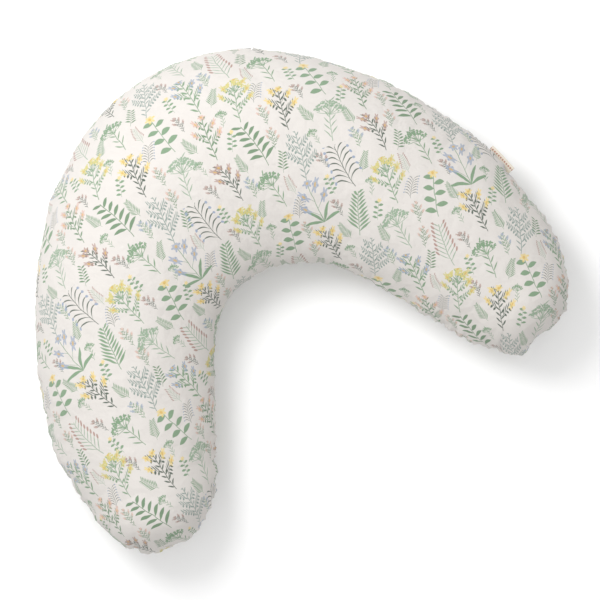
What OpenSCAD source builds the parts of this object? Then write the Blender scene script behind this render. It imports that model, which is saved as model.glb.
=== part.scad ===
// C-shaped nursing pillow: a printed cotton slip cover with a concealed-edge coil zip
// round the back, over an inner cotton case packed with loose fibre.
// Millimetres. +Z is up, the waist hollow opens towards -Y, and the origin is the middle
// of the footprint at the height of the surface that the pillow lies on.

/* [Outline] */
// Radius of the back edge, which the zip follows
back_arc_r = 265; // [255:5:275]
// Half of the angle that the back edge turns through
back_arc_half = 36; // [34:1:38]
// Radius of the long side edge, from the back to the tip
side_arc_r = 470; // [450:10:500]
// Radius of the waist hollow at its deepest point
hollow_r = 122; // [110:2:130]
// Angle that each inner edge leans out from the back's direction
hollow_half = 61; // [58:1:63]
// Width of the pillow across the middle of the back
back_width = 291; // [280:1:300]
// Radius of the rounded tips
tip_r = 85; // [78:1:90]

/* [Thickness] */
// Height of the perimeter seam above the surface
seam_z = 72; // [66:1:78]
// Rise of the crown above the seam in the arms
crown_arm = 76; // [66:1:86]
// Extra rise of the crown at the middle of the back
crown_back_extra = 12; // [0:1:20]
// Share of the width that lies flat on the surface
flat_share = 0.36; // [0.25:0.01:0.5]

/* [Cloth] */
// Thickness of the printed cover cloth
cover_t = 0.8; // [0.6:0.1:0.9]
// Distance from the cover's outside to the inner case
case_inset = 4.6; // [4.4:0.1:6]
// Thickness of the inner case cloth
case_t = 0.6; // [0.4:0.1:0.8]
// Distance from the cover's outside to the filling
filling_inset = 6.2; // [6:0.1:8]

/* [Zip] */
// Half-height of the slit between the two cover panels
slit_half = 5.5; // [5.2:0.1:6]
// Half of the angle that the zip's coil runs through
coil_half_angle = 31.2; // [28:0.1:31.6]
// Angle beyond the coil that each tape runs on
tape_tail_angle = 0.9; // [0.5:0.1:1]
// Height of one zip tape
tape_h = 14; // [12:0.5:15]
// Thickness of a zip tape
tape_t = 0.5; // [0.4:0.1:0.6]
// Height of one row of coil
coil_h = 2.7; // [2:0.1:2.8]
// Depth of the coil
coil_t = 1.9; // [1.6:0.1:2]
// Gap between the two rows, which the slider's web passes through
coil_gap = 1.0; // [0.9:0.1:1.2]
// Angle of the slider from the middle of the back when the zip is closed
slider_angle = 30; // [25:0.5:30]
// Length of the slider
slider_l = 9; // [8:0.5:10]
// Length of the pull tab from its bar
pull_l = 21; // [16:1:26]

/* [Labels] */
// Length of the folded label along the seam
label_l = 40; // [30:1:50]
// Distance that the folded label stands out of the seam
label_out = 11; // [8:0.5:14]
// Angle of the label on the side edge
label_angle = 13.5; // [8:0.5:18]
// Angle of the care label on the side edge
care_angle = -0.5; // [-1:0.5:5]
// Height of the care label inside the cover
care_h = 16; // [12:0.5:17]
// Length of the care label along the seam
care_l = 34; // [25:1:40]

/* [Hidden] */

// How finely the soft forms are divided
back_steps = 6;
side_steps = 18;
tip_steps = 6;
body_steps = back_steps + side_steps;
// Height above and below the seam that stays straight, so that the zip lies flat in it
band_h = 18;
// Angles round the crown and round the underside between the two seam bands
crown_angles = [30, 50, 70, 90, 110, 130, 150];
under_angles = [34, 60, 90];

function dir(a) = [cos(a), sin(a)];

// The outline is one run of tangent arcs, worked out for the +X half from y = 0 at the
// back edge, and then moved so that the origin is the middle of the footprint.
back_c = [0, -back_arc_r];
side_from = 90 - back_arc_half;
side_c = back_c + (back_arc_r - side_arc_r) * dir(side_from);
hollow_c = [0, -back_width - hollow_r];
arm_start = hollow_c + hollow_r * dir(90 - hollow_half);
arm_dir = dir(-hollow_half);
arm_out = dir(90 - hollow_half);
tip_to_side = arm_start + tip_r * arm_out - side_c;
arm_l = -tip_to_side * arm_dir
    + sqrt(pow(tip_to_side * arm_dir, 2) - tip_to_side * tip_to_side + pow(side_arc_r - tip_r, 2));
tip_c = arm_start + tip_r * arm_out + arm_l * arm_dir;
side_to = atan2(tip_c.y - side_c.y, tip_c.x - side_c.x);
tip_inner = -90 - hollow_half;
tip_mid = (side_to + tip_inner) / 2;
tip_half = (side_to - tip_inner) / 2;
length_y = tip_r - tip_c.y;
shift = [0, length_y / 2];
hollow_arc_l = hollow_r * hollow_half * PI / 180;
zip_c = back_c + shift;

function outer_edge(k) = shift + (k <= back_steps
    ? back_c + back_arc_r * dir(90 - back_arc_half * k / back_steps)
    : side_c + side_arc_r * dir(side_from + (side_to - side_from) * (k - back_steps) / side_steps));
function inner_edge(k) = let (s = (hollow_arc_l + arm_l) * k / body_steps)
    shift + (s <= hollow_arc_l
        ? hollow_c + hollow_r * dir(90 - hollow_half * s / hollow_arc_l)
        : arm_start + (s - hollow_arc_l) * arm_dir);

// Rise of the crown at a step along the arm: most at the back, easing into the arms.
function crown(k) = crown_arm + crown_back_extra * pow(cos(90 * min(1, k / body_steps)), 2);
function slit(k) = k < back_steps ? slit_half : 0;

// One section: its middle, its unit vector to the outer edge, half-width, crown, seam
// height, and the height of the slit. inset is how far the skin lies inside the cover.
function body_section(k, inset) = let (a = outer_edge(k), b = inner_edge(k), w = norm(a - b) / 2)
    [(a + b) / 2, (a - b) / (2 * w), w - inset, crown(k) - inset, seam_z - inset, slit(k)];
function tip_section(j, inset) = let (p = tip_half * (1 - j / tip_steps), r = tip_r - inset,
        s = sin(90 * p / tip_half))
    [shift + tip_c + r * cos(p) * dir(tip_mid), dir(tip_mid + 90), r * sin(p),
        (crown(body_steps) - inset) * s, (seam_z - inset) * s, 0];
function tip_point(inset) = let (p = shift + tip_c + (tip_r - inset) * dir(tip_mid)) [p.x, p.y, seam_z];
function flip(p) = [-p.x, p.y, p.z];

// Points of the crown and of the underside as [share of half-width, height from seam].
function crown_row(s, open) = let (h = s[3], band = min(band_h, 0.5 * h), ba = asin(band / h))
    concat([[1, open], [cos(ba), band]], [for (a = crown_angles) [cos(a), h * sin(a)]],
        [[-cos(ba), band], [-1, 0]]);
function under_row(s, open) = let (d = s[4], band = min(band_h, 0.5 * d), ba = asin(band / d),
        u = function (a) flat_share + (1 - flat_share) * cos(a),
        half = concat([[u(ba), -band]], [for (a = under_angles) [u(a), -d * sin(a)]]))
    concat([[1, -open]], half, [for (i = [len(half) - 1:-1:0]) [-half[i].x, half[i].y]], [[-1, 0]]);
function placed(s, row) = [for (p = row)
    [s[0].x + s[1].x * s[2] * p.x, s[0].y + s[1].y * s[2] * p.x, seam_z + p.y]];

function sections(inset) = concat([for (k = [0:body_steps]) body_section(k, inset)],
    [for (j = [1:tip_steps - 1]) tip_section(j, inset)]);
// Rows from the tip at -X, over the back, to the tip at +X.
function rows(inset, upper, slitted) = let (right = [for (s = sections(inset))
        let (open = slitted ? s[5] : 0) placed(s, upper ? crown_row(s, open) : under_row(s, open))])
    concat([for (i = [len(right) - 1:-1:1]) [for (p = right[i]) flip(p)]], right);

// Triangles of a sheet of rows with a point at each end; flipped turns them over.
function turned(f, flipped) = flipped ? [f[2], f[1], f[0]] : f;
function sheet_faces(n, m, first, flipped) = let (at = function (i, c) first + i * m + c,
        start = first + n * m, end = start + 1)
    [for (f = concat(
        [for (i = [0:n - 2]) for (c = [0:m - 2]) each [
            [at(i, c), at(i + 1, c), at(i + 1, c + 1)], [at(i, c), at(i + 1, c + 1), at(i, c + 1)]]],
        [for (c = [0:m - 2]) [start, at(0, c), at(0, c + 1)]],
        [for (c = [0:m - 2]) [end, at(n - 1, c + 1), at(n - 1, c)]])) turned(f, flipped)];
// Triangles that join edge column c of two sheets, tip to tip.
function rim_faces(n, m, c, second, flipped) = let (
        outer = concat([n * m], [for (i = [0:n - 1]) i * m + c], [n * m + 1]))
    [for (i = [0:n]) each [
        turned([outer[i], outer[i] + second, outer[i + 1] + second], flipped),
        turned([outer[i], outer[i + 1] + second, outer[i + 1]], flipped)]];

function ends(inset) = [flip(tip_point(inset)), tip_point(inset)];

// A cloth panel between two insets: the crown (upper) or the underside.
module cloth_panel(from, to, upper, slitted) {
    outer = rows(from, upper, slitted);
    inner = rows(to, upper, slitted);
    n = len(outer);
    m = len(outer[0]);
    second = n * m + 2;
    points = concat([for (r = outer) each r], ends(from), [for (r = inner) each r], ends(to));
    polyhedron(points, concat(
        sheet_faces(n, m, 0, !upper), sheet_faces(n, m, second, upper),
        rim_faces(n, m, 0, second, !upper), rim_faces(n, m, m - 1, second, upper)));
}

// A solid inside the whole skin at one inset.
module stuffed(inset) {
    over = rows(inset, true, false);
    under = rows(inset, false, false);
    n = len(over);
    m = len(over[0]);
    w = len(under[0]);
    // The underside leaves out its own seam points and uses the crown's.
    ring = [for (i = [0:n - 1]) concat(over[i], [for (c = [w - 2:-1:1]) under[i][c]])];
    q = m + w - 2;
    start = n * q;
    points = concat([for (r = ring) each r], ends(inset));
    polyhedron(points, concat(
        [for (i = [0:n - 2]) for (c = [0:q - 1]) let (d = (c + 1) % q) each [
            [i * q + c, (i + 1) * q + c, (i + 1) * q + d], [i * q + c, (i + 1) * q + d, i * q + d]]],
        [for (c = [0:q - 1]) [start, c, (c + 1) % q]],
        [for (c = [0:q - 1]) [start + 1, (n - 1) * q + (c + 1) % q, (n - 1) * q + c]]));
}

// The zip's sections are swept round the centre of the back edge. Angles are from +Y,
// and a positive angle is towards +X, where the zip closes.
module round_back(from, to) {
    translate([zip_c.x, zip_c.y, seam_z])
        rotate([0, 0, 90 - to])
            rotate_extrude(angle = to - from, $fn = 180)
                children();
}
module round_side(angle, length) {
    half = length / side_arc_r * 90 / PI;
    translate([side_c.x + shift.x, side_c.y + shift.y, seam_z])
        rotate([0, 0, angle - half])
            rotate_extrude(angle = 2 * half, $fn = 180)
                children();
}

tape_face = back_arc_r - 1.8;
coil_face = tape_face + coil_t;
tape_foot = coil_gap / 2 + 0.1;
tape_angle = coil_half_angle + tape_tail_angle;
// How far the tape leans in with the skin at its far edge
tape_lean = 2.9;
module tape() {
    color("ivory")
        round_back(-tape_angle, tape_angle)
            polygon([
                [tape_face, tape_foot], [tape_face, slit_half],
                [tape_face - tape_lean, tape_foot + tape_h],
                [tape_face - tape_lean - tape_t, tape_foot + tape_h],
                [tape_face - tape_t, slit_half], [tape_face - tape_t, tape_foot]]);
}
module coil() {
    color("ivory")
        round_back(-coil_half_angle, coil_half_angle)
            translate([tape_face, coil_gap / 2])
                square([coil_t, coil_h]);
}
module lower() {
    translate([0, 0, 2 * seam_z])
        mirror([0, 0, 1])
            children();
}

// Angle that a length takes up on the back edge
function back_angle(l) = l / back_arc_r * 180 / PI;
stop_l = 2;
module zip_top_stops() {
    color("silver")
        for (side = [0, 1])
            round_back(coil_half_angle, coil_half_angle + back_angle(stop_l))
                translate([tape_face, side ? -coil_gap / 2 - coil_h : coil_gap / 2])
                    square([coil_t, coil_h]);
}
module zip_bottom_stop() {
    color("silver")
        round_back(-coil_half_angle - back_angle(stop_l), -coil_half_angle)
            translate([tape_face, -coil_gap / 2 - coil_h])
                square([coil_t, coil_gap + 2 * coil_h]);
}

// Slider: a front and a back plate joined by a thin web, flanges round the coil, and a
// crown on the front plate that the pull's bar turns in.
play = 0.2;
plate_t = 1.0;
plate_r = coil_face + play;
plate_half_h = 4.4;
tail_r = 2.2;
flange_t = 0.8;
web_half = 0.3;
web_l = 2.6;
crown_l = 4.6;
crown_half_h = 1.1;
crown_t = 2.3;
// The bar of the pull, and its running clearance in the crown
bar_r = 0.7;
bar_play = 0.05;
bar_at = plate_r + plate_t + crown_t / 2;
// How far solids that are joined run into each other, and how far a cut runs past
bite = 0.2;
// Draws its children in the slider's own frame: X outwards, Y along the zip, Z up.
module at_slider() {
    translate([zip_c.x, zip_c.y, seam_z])
        rotate([0, 0, 90 - slider_angle])
            children();
}
// The slider's outline, wide where the two rows enter it and narrow where they leave.
module shield(depth) {
    nose = plate_half_h;
    nose_at = slider_l / 2 - nose;
    tail_at = tail_r - slider_l / 2;
    translate([back_arc_r - depth / 2, 0, 0])
        rotate([0, 90, 0])
            linear_extrude(depth) {
                translate([0, tail_at])
                    circle(r = tail_r, $fn = 48);
                translate([0, nose_at])
                    circle(r = nose, $fn = 64);
                polygon([[-tail_r, tail_at], [tail_r, tail_at], [nose, nose_at], [-nose, nose_at]]);
            }
}
module slider_ring(from_r, to_r, low, high, length) {
    half = back_angle(length) / 2;
    rotate([0, 0, -half])
        rotate_extrude(angle = 2 * half, $fn = 180)
            translate([from_r, low])
                square([to_r - from_r, high - low]);
}
module zip_slider() {
    back_plate_r = tape_face - tape_t - play;
    flange_r = tape_face + play;
    color("silver")
        at_slider()
            difference() {
                union() {
                    intersection() {
                        union() {
                            slider_ring(plate_r, plate_r + plate_t, -plate_half_h, plate_half_h, slider_l);
                            slider_ring(back_plate_r - plate_t, back_plate_r,
                                -plate_half_h, plate_half_h, slider_l);
                            for (low = [-plate_half_h, plate_half_h - flange_t])
                                slider_ring(flange_r, plate_r + bite, low, low + flange_t, slider_l);
                        }
                        shield(4 * plate_half_h);
                    }
                    slider_ring(back_plate_r - bite, plate_r + bite, -web_half, web_half, web_l);
                    translate([plate_r + plate_t - 2 * bite, -crown_l / 2, -crown_half_h])
                        cube([crown_t + 2 * bite, crown_l, 2 * crown_half_h]);
                }
                translate([bar_at, 0, -crown_half_h - bite])
                    cylinder(r = bar_r + bar_play, h = 2 * (crown_half_h + bite), $fn = 48);
            }
}

// Pull tab: a bar through the crown, two arms and a rounded plate with a hole. At rest it
// lies along the zip, pointing back over the closed coil.
pull_t = 1.2;
pull_half_h = 2.9;
pull_hole_r = 1.5;
arm_w = 1.0;
arm_in = crown_half_h + 0.15;
arm_reach = crown_l / 2 + 1.4;
module pull_box(from, to, low, high) {
    translate([-pull_t / 2, from, low])
        cube([pull_t, to - from, high - low]);
}
module pull_disc(r, t) {
    translate([-t / 2, pull_l - pull_half_h, 0])
        rotate([0, 90, 0])
            cylinder(r = r, h = t, $fn = 64);
}
module zip_pull_tab() {
    arm_out_h = arm_in + arm_w;
    color("silver")
        at_slider()
            translate([bar_at, 0, 0])
                difference() {
                    union() {
                        translate([0, 0, -arm_out_h])
                            cylinder(r = bar_r, h = 2 * arm_out_h, $fn = 48);
                        for (low = [-arm_out_h, arm_in])
                            pull_box(0, arm_reach, low, low + arm_w);
                        pull_box(arm_reach - 2 * bite, pull_l - pull_half_h, -arm_out_h, arm_out_h);
                        pull_box(arm_reach + arm_w, pull_l - pull_half_h, -pull_half_h, pull_half_h);
                        pull_disc(pull_half_h, pull_t);
                    }
                    pull_disc(pull_hole_r, pull_t + 2 * bite);
                }
}

module cover_top_panel() {
    color("whitesmoke")
        cloth_panel(0, cover_t, true, true);
}
module cover_bottom_panel() {
    color("whitesmoke")
        cloth_panel(0, cover_t, false, true);
}
module zip_tape_upper() {
    tape();
}
module zip_tape_lower() {
    lower()
        tape();
}
module zip_coil_upper() {
    coil();
}
module zip_coil_lower() {
    lower()
        coil();
}
// Two layers of woven ribbon that meet at a fold, the fold outwards.
module brand_label() {
    ply = 0.4;
    gap = 0.3;
    root = side_arc_r + 0.1;
    color("bisque")
        round_side(label_angle, label_l)
            difference() {
                translate([root, -ply - gap / 2])
                    square([label_out, 2 * ply + gap]);
                translate([root - bite, -gap / 2])
                    square([label_out + bite - ply, gap]);
            }
}
// A satin strip that stands against the inside of the top panel and leans in with it.
module care_label() {
    face = side_arc_r - 2 * cover_t;
    lean = 2.7;
    ply = 0.4;
    color("white")
        round_side(care_angle, care_l)
            polygon([[face, 0], [face - lean, care_h], [face - lean - ply, care_h], [face - ply, 0]]);
}
module inner_case_top() {
    color("white")
        cloth_panel(case_inset, case_inset + case_t, true, false);
}
module inner_case_bottom() {
    color("white")
        cloth_panel(case_inset, case_inset + case_t, false, false);
}
module filling() {
    color("snow")
        stuffed(filling_inset);
}

cover_top_panel();
cover_bottom_panel();
zip_tape_upper();
zip_tape_lower();
zip_coil_upper();
zip_coil_lower();
zip_top_stops();
zip_bottom_stop();
zip_slider();
zip_pull_tab();
brand_label();
care_label();
inner_case_top();
inner_case_bottom();
filling();
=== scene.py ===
"""Looks of a C-shaped nursing pillow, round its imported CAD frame. Metres, +Z up.

The cover panels are soft skins over the CAD outline. The zip's coil, stitches and label are drawn as
thread and ribbon, and the cloth's print as shader arithmetic.
"""
import math

import bmesh
import bpy
import numpy as np
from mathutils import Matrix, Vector
from mathutils.bvhtree import BVHTree
from mathutils.kdtree import KDTree


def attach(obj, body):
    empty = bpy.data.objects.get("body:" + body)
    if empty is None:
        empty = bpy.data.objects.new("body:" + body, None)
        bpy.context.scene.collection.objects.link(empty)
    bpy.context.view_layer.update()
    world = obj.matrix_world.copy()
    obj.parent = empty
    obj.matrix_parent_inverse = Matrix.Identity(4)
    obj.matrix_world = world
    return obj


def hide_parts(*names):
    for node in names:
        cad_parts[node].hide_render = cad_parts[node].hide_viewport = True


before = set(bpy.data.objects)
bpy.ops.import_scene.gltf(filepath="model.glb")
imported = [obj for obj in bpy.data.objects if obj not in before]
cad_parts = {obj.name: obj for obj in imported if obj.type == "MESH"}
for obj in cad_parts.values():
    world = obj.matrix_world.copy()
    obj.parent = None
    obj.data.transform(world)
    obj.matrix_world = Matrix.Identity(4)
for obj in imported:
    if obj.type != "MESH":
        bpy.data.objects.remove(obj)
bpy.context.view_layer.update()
MM = 0.001

# ---------------------------------------------------------------------------
# The pillow's outline, as in the CAD: tangent arcs, in millimetres, +X half
# ---------------------------------------------------------------------------
BACK_R, BACK_HALF = 265.0, 36.0  # each arc's radius and half-angle in degrees
HOLLOW_R, HOLLOW_HALF = 122.0, 61.0
SIDE_R, TIP_R = 470.0, 85.0
BACK_WIDTH = 291.0
SEAM_Z = 72.0
CROWN_ARM, CROWN_BACK = 76.0, 12.0  # height over the seam, and what the back adds to it
FLAT_SHARE = 0.36  # of the half-width, flat on the floor
COVER_T = 0.8
SLIT_HALF, SLIT_REACH = 5.5, 30.0  # how far the zip parts the edges, and up to what height they give way
SLIT_END, SLIT_CLOSES_IN = 32.9, 2.2  # degrees round the back
COIL_HALF_ANGLE = 31.2
BACK_STEPS, SIDE_STEPS = 6, 18  # the CAD's steps along the back's and side's arcs
STEPS = BACK_STEPS + SIDE_STEPS
FINE = ((230, 66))  # rows from the back to the tip, and in the tip
COLS = 72
EDGE_CROWDING = 1.35  # over 1 brings a section's points closer together at the seam


def turn(degrees):
    """The unit vector at an angle from +X."""
    a = np.radians(degrees)
    return np.stack([np.cos(a), np.sin(a)], -1)


BACK_C = np.array([0, -BACK_R])
SIDE_FROM = 90 - BACK_HALF
SIDE_C = BACK_C + (BACK_R - SIDE_R) * turn(SIDE_FROM)
HOLLOW_C = np.array([0, -BACK_WIDTH - HOLLOW_R])
ARM_START = HOLLOW_C + HOLLOW_R * turn(90 - HOLLOW_HALF)
ARM_DIR = turn(-HOLLOW_HALF)
ARM_OUT = turn(90 - HOLLOW_HALF)
TO_TIP = ARM_START + TIP_R * ARM_OUT - SIDE_C
ARM_L = -TO_TIP @ ARM_DIR + math.sqrt((TO_TIP @ ARM_DIR) ** 2 - TO_TIP @ TO_TIP + (SIDE_R - TIP_R) ** 2)
TIP_C = ARM_START + TIP_R * ARM_OUT + ARM_L * ARM_DIR
SIDE_TO = math.degrees(math.atan2(*(TIP_C - SIDE_C)[::-1]))
TIP_INNER = -90 - HOLLOW_HALF
TIP_MID = (SIDE_TO + TIP_INNER) / 2
TIP_HALF = (SIDE_TO - TIP_INNER) / 2
HOLLOW_L = math.radians(HOLLOW_HALF) * HOLLOW_R
SHIFT = np.array([0, (TIP_R - TIP_C[1]) / 2])  # puts the outline's middle at the origin
ZIP_C = BACK_C + SHIFT
SIDE_ROOT = SIDE_C + SHIFT


def outer_edge(k):
    """Points of the outer edge at steps k, from the middle of the back to the tip."""
    back = BACK_C + BACK_R * turn(90 - BACK_HALF * k / BACK_STEPS)
    side = SIDE_C + SIDE_R * turn(SIDE_FROM + (SIDE_TO - SIDE_FROM) * (k - BACK_STEPS) / SIDE_STEPS)
    return SHIFT + np.where((k <= BACK_STEPS)[:, None], back, side)


def inner_edge(k):
    """Points of the inner edge at steps k, from the middle of the hollow to the tip."""
    s = (HOLLOW_L + ARM_L) * k / STEPS
    hollow = HOLLOW_C + HOLLOW_R * turn(90 - HOLLOW_HALF * s / HOLLOW_L)
    arm = ARM_START + (s - HOLLOW_L)[:, None] * ARM_DIR
    return SHIFT + np.where((s <= HOLLOW_L)[:, None], hollow, arm)


def sections(body_rows, tip_rows):
    """Rows from the -X tip to the +X tip: middle, unit vector outwards, half-width, crown, depth, slit."""
    k = np.linspace(0, STEPS, body_rows)
    a, b = outer_edge(k), inner_edge(k)
    w = np.linalg.norm(a - b, axis=1) / 2
    crown = CROWN_ARM + CROWN_BACK * np.cos(np.pi / 2 * k / STEPS) ** 2
    to_slit_end = SLIT_END - BACK_HALF * k / BACK_STEPS
    slit = SLIT_HALF * np.clip(to_slit_end / SLIT_CLOSES_IN, 0, 1) ** 0.6
    p = TIP_HALF * (1 - np.arange(1, tip_rows + 1) / tip_rows)
    rise = np.sin(np.pi / 2 * p / TIP_HALF)
    tip_mid = SHIFT + TIP_C + TIP_R * np.cos(np.radians(p))[:, None] * turn(TIP_MID)
    tip_out = np.repeat(turn(TIP_MID + 90)[None], tip_rows, 0)
    flip = np.array([-1, 1])
    halves = (
        (np.vstack([(a + b) / 2, tip_mid]), flip),
        (np.vstack([(a - b) / (2 * w[:, None]), tip_out]), flip),
        (np.concatenate([w, TIP_R * np.sin(np.radians(p))]), 1),
        (np.concatenate([crown, CROWN_ARM * rise]), 1),
        (np.concatenate([np.full(body_rows, SEAM_Z), SEAM_Z * rise]), 1),
        (np.concatenate([slit, np.zeros(tip_rows)]), 1),
    )
    return [np.concatenate([(values * mirror)[:0:-1], values]) for values, mirror in halves]


def outline(n):
    """n points evenly spaced round the seam, clockwise from the middle of the back."""
    k = np.linspace(0, STEPS, 400)
    tip = SHIFT + TIP_C + TIP_R * turn(np.linspace(SIDE_TO, TIP_INNER, 120))
    right = np.vstack([outer_edge(k), tip[1:-1], inner_edge(k)[::-1]])
    loop = np.vstack([right, right[::-1][1:-1] * [-1, 1], right[:1]])
    along = np.concatenate([[0], np.cumsum(np.linalg.norm(np.diff(loop, axis=0), axis=1))])
    s = np.linspace(0, along[-1], n, endpoint=False)
    return np.stack([np.interp(s, along, loop[:, i]) for i in (0, 1)], 1), s, along[-1]


# ---------------------------------------------------------------------------
# Grids and meshes
# ---------------------------------------------------------------------------
def linked(name, data):
    """A new object in the scene."""
    obj = bpy.data.objects.new(name, data)
    bpy.context.scene.collection.objects.link(obj)
    return obj


def rework(mesh, work):
    """Changes a mesh by a function of its BMesh."""
    bm = bmesh.new()
    bm.from_mesh(mesh)
    work(bm)
    bm.to_mesh(mesh)
    bm.free()


def weld(bm):
    """Merges points that coincide, as at the tips, and drops the faces which that leaves empty."""
    bmesh.ops.remove_doubles(bm, verts=bm.verts, dist=1e-5)
    bmesh.ops.dissolve_degenerate(bm, dist=1e-6, edges=bm.edges)


def orient(bm):
    """Makes all faces of a closed mesh look outwards."""
    bmesh.ops.recalc_face_normals(bm, faces=bm.faces)


def quads(index):
    """Corner numbers of the quads in a grid of point numbers."""
    return np.stack([index[:-1, :-1], index[:-1, 1:], index[1:, 1:], index[1:, :-1]], -1).reshape(-1, 4)


def column_shares(n, upper, crown, depth):
    """Share of half-width and height over the seam of a section's n + 1 points, outer edge first."""
    q = np.linspace(-1, 1, n + 1)
    q = np.sign(q) * (1 - (1 - np.abs(q)) ** EDGE_CROWDING)
    a = np.pi / 2 * (1 + q)
    if upper:
        return np.cos(a), crown * np.sin(a)
    b = np.where(a <= np.pi / 2, a, np.pi - a)
    share = np.sign(np.cos(a)) * (FLAT_SHARE + (1 - FLAT_SHARE) * np.cos(b))
    return np.where(np.abs(q) < 1e-9, 0, share), -depth * np.sin(b)


def skin_grid(rows, cols, upper, slitted):
    """Points of one panel as rows x columns x 3, in millimetres."""
    mid, out, w, crown, depth, slit = sections(*rows)
    grid = np.zeros((len(w), cols + 1, 3))
    for i in range(len(w)):
        u, z = column_shares(cols, upper, crown[i], depth[i])
        grid[i, :, :2] = mid[i] + out[i] * (w[i] * u)[:, None]
        grid[i, :, 2] = SEAM_Z + z
        if slitted:
            edge = slit[i] if upper else -slit[i]
            grid[i, :, 2] += edge * np.clip(1 - np.abs(z) / SLIT_REACH, 0, 1) * (u > 0)
    return grid


def grid_mesh(name, grid, uv):
    """A smooth object of quads over a grid, its two end rows welded to a point."""
    mesh = bpy.data.meshes.new(name)
    index = np.arange(grid[..., 0].size).reshape(grid.shape[:2])
    mesh.from_pydata((grid.reshape(-1, 3) * MM).tolist(), [], quads(index).tolist())
    layer = mesh.uv_layers.new(name="print")
    loops = np.zeros(len(mesh.loops), np.int32)
    mesh.loops.foreach_get("vertex_index", loops)
    layer.data.foreach_set("uv", uv.reshape(-1, 2)[loops].ravel().astype(np.float32))
    rework(mesh, weld)
    mesh.shade_smooth()
    return linked(name, mesh)


def grid_normals(grid, upper):
    """Unit normals of a panel's grid, away from the filling."""
    n = np.cross(np.gradient(grid, axis=1), np.gradient(grid, axis=0))
    n = n / np.maximum(np.linalg.norm(n, axis=2, keepdims=True), 1e-9)
    for end, near in ((0, 3), (-1, -4)):
        n[end] = n[near].mean(0) / np.linalg.norm(n[near].mean(0))
    if (n[len(n) // 2, n.shape[1] // 2, 2] > 0) != upper:
        n = -n
    return n


RNG = np.random.default_rng(7)
LOOP, LOOP_S, LOOP_LEN = outline(1600)


def nearest_on_loop(points):
    """Arc length of the nearest outline point and the distance to it, for plan points."""
    tree = KDTree(len(LOOP))
    for i, p in enumerate(LOOP):
        tree.insert((p[0], p[1], 0), i)
    tree.balance()
    found = [tree.find((p[0], p[1], 0)) for p in points]
    return np.array([LOOP_S[f[1]] for f in found]), np.array([f[2] for f in found])


def from_seam(points):
    """The place along the seam nearest to points, and their distance from it."""
    s, d = nearest_on_loop(points[:, :2])
    return s, np.sqrt(d ** 2 + (points[:, 2] - SEAM_Z) ** 2)


# ---------------------------------------------------------------------------
# Cloth simulation: the cover is cut a little full and gathered into its seam
# ---------------------------------------------------------------------------
SIM_ROWS, SIM_COLS = (84, 22), 40
SIM_FRAMES = 22
UNEVEN = 0.25  # mm by which the start is uneven, for the gathers to grow from
ON_FLOOR = 1.5  # points below this height, in mm, stay where they are
FULLNESS, GATHER_REACH = 0.13, 55.0  # extra cloth at the seam, and how far in mm it fades out over
CLOTH = {
    "quality": 5, "mass": 0.2, "tension_stiffness": 20, "compression_stiffness": 20, "shear_stiffness": 6,
    "bending_stiffness": 0.05, "use_pressure": True, "uniform_pressure_force": 4, "pin_stiffness": 1,
    "vertex_group_mass": "pin", "vertex_group_shrink": "full", "shrink_min": 0.0, "shrink_max": -FULLNESS,
}


def closed_skin():
    """Both panels as one skin: points in mm, their numbers in the upper and lower grid, and faces."""
    points = np.stack([skin_grid(SIM_ROWS, SIM_COLS, upper, False) for upper in (True, False)])
    n, m = points.shape[1:3]
    points = points.reshape(-1, 3)
    points = points + np.random.default_rng(11).normal(0, UNEVEN, points.shape)
    index = np.arange(n * m).reshape(n, m)
    lower = index + n * m
    lower[:, 0], lower[:, -1] = index[:, 0], index[:, -1]
    for end in (0, -1):
        index[end], lower[end] = index[end, 0], index[end, 0]
    faces = []
    for grid, flip in ((index, False), (lower, True)):
        for corners in quads(grid).tolist():
            corners = list(dict.fromkeys(corners))
            if len(corners) > 2:
                faces.append(corners[::-1] if flip else corners)
    return points, index, lower, faces


def gathered_fullness():
    """How far the blown-up cover moves from the plain form, as two grids of vectors in mm."""
    points, index, lower, faces = closed_skin()
    used = sorted({v for f in faces for v in f})
    place = {v: i for i, v in enumerate(used)}
    mesh = bpy.data.meshes.new("sim")
    mesh.from_pydata((points[used] * MM).tolist(), [], [[place[v] for v in f] for f in faces])
    mesh.update()
    rework(mesh, orient)
    obj = linked("sim", mesh)
    held = np.zeros((2, *index.shape), bool)
    held[:, :, 0] = held[:, :, -1] = held[:, 0] = held[:, -1] = True
    held = held.reshape(-1) | (points[:, 2] < ON_FLOOR)
    pin = obj.vertex_groups.new(name="pin")
    full = obj.vertex_groups.new(name="full")
    _, distance = from_seam(points[used])
    for i, v in enumerate(used):
        if held[v]:
            pin.add([i], 1.0, "REPLACE")
        full.add([i], float(np.exp(-distance[i] / GATHER_REACH)), "REPLACE")
    mod = obj.modifiers.new("cloth", "CLOTH")
    for key, value in CLOTH.items():
        setattr(mod.settings, key, value)
    mod.settings.effector_weights.gravity = 0
    mod.collision_settings.use_collision = False
    scene = bpy.context.scene
    for clock in (scene, mod.point_cache):
        clock.frame_start, clock.frame_end = 1, SIM_FRAMES
    for f in range(1, SIM_FRAMES + 1):
        scene.frame_set(f)
    ready = obj.evaluated_get(bpy.context.evaluated_depsgraph_get()).data
    after = np.zeros(len(used) * 3)
    ready.vertices.foreach_get("co", after)
    scene.frame_set(1)
    bpy.data.objects.remove(obj)
    moved = np.zeros(points.shape)
    moved[used] = after.reshape(-1, 3) / MM - points[used]
    return np.stack([moved[index], moved[lower]])


def row_marks(rows):
    """Each row's signed place: 0 at the back, 1 where the tips begin, 2 at their ends."""
    t = np.concatenate([np.linspace(0, 1, rows[0]), 1 + np.arange(1, rows[1] + 1) / rows[1]])
    return np.concatenate([-t[:0:-1], t])


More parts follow.
